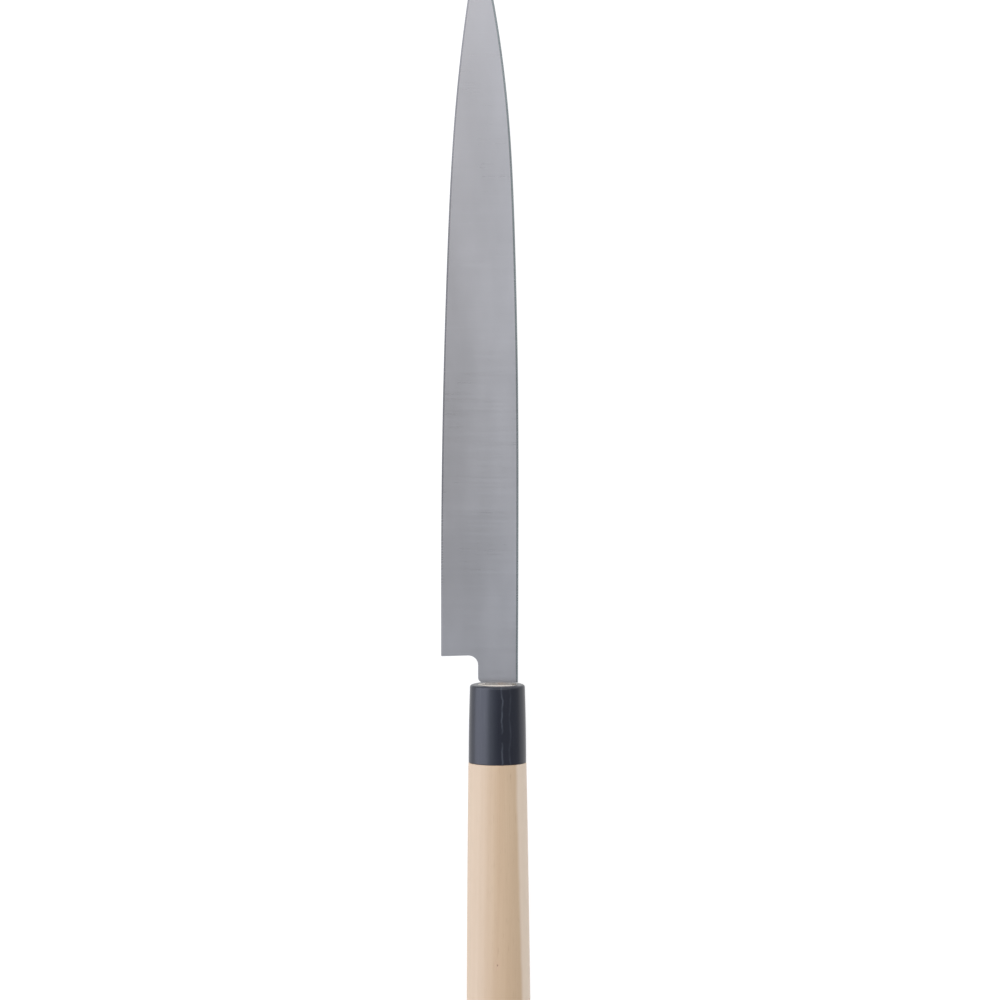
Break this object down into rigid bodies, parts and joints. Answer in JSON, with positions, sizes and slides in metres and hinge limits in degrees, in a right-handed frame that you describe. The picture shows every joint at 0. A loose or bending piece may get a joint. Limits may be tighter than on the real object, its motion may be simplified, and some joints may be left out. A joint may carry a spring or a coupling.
{
  "type": "yanagiba knife",
  "caption": "Long single-bevel Japanese slicing knife with a hollow-backed steel blade, a black horn-like ferrule and a ridged oval handle of pale wood.",
  "frame": {"origin": "middle of the knife's outline, on the level surface below it", "axes": "+Y from the butt to the tip, +X from the edge to the spine, +Z out of the blade's flat back"},
  "size_m": [0.0382, 0.457, 0.0222],
  "materials": {
    "blade_steel": "satin ground steel, finely scratched across the blade",
    "black_horn": "polished black horn with faint lengthwise streaks",
    "pale_wood": "bare sanded pale wood with fine lengthwise grain",
    "seal_resin": "dull pale filler"
  },
  "bodies": {
    "root": {"blade": "blade_steel", "ferrule": "black_horn", "handle": "pale_wood", "tang_seal": "seal_resin"}
  },
  "joints": []
}
